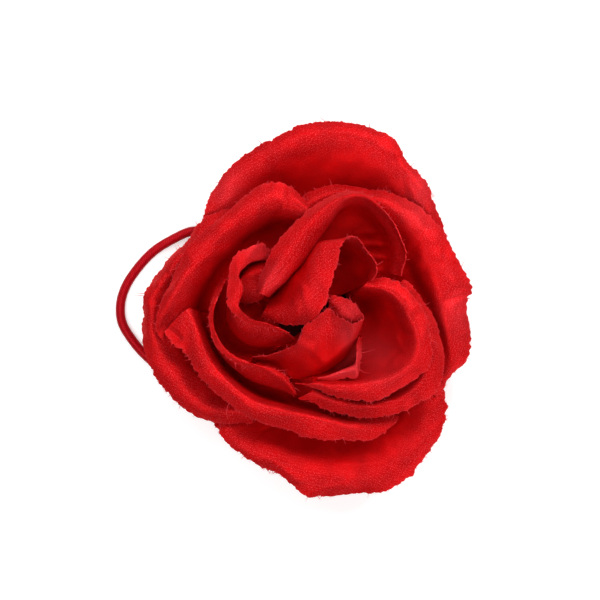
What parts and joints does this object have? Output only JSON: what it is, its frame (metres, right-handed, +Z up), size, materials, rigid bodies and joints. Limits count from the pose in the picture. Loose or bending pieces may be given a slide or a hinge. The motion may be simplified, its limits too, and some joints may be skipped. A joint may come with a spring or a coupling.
{
  "type": "fabric rose hair tie",
  "caption": "Full-blown fabric rose of curled, nested cloth petals on a round felt back, with a loop of round hair elastic leaving one side.",
  "frame": {"origin": "middle of the felt's underside, under the middle of the rose", "axes": "+Z up out of the felt through the heart of the rose, +Y towards its top back petal, and the elastic's loop on the -X side"},
  "size_m": [0.0975, 0.1031, 0.033],
  "materials": {
    "petal_cloth": "woven satin with a soft sheen, cut edges curled by heat",
    "felt": "pressed felt",
    "glue": "set hot-melt glue",
    "elastic": "braided cover over a rubber core"
  },
  "bodies": {
    "root": {"backing_felt": "felt", "glue_base": "glue", "hair_elastic": "elastic", "top_back_petal": "petal_cloth", "bottom_back_petal": "petal_cloth", "bottom_petal": "petal_cloth", "left_petal": "petal_cloth", "right_petal": "petal_cloth", "upper_left_petal": "petal_cloth", "lower_left_petal": "petal_cloth", "lower_right_petal": "petal_cloth", "right_cup_petal": "petal_cloth", "top_petal": "petal_cloth", "left_outer_wrap": "petal_cloth", "left_inner_wrap": "petal_cloth", "left_lining_petal": "petal_cloth", "folded_rim_petal": "petal_cloth", "inner_cup_petal": "petal_cloth", "heart_petal": "petal_cloth"}
  },
  "joints": []
}
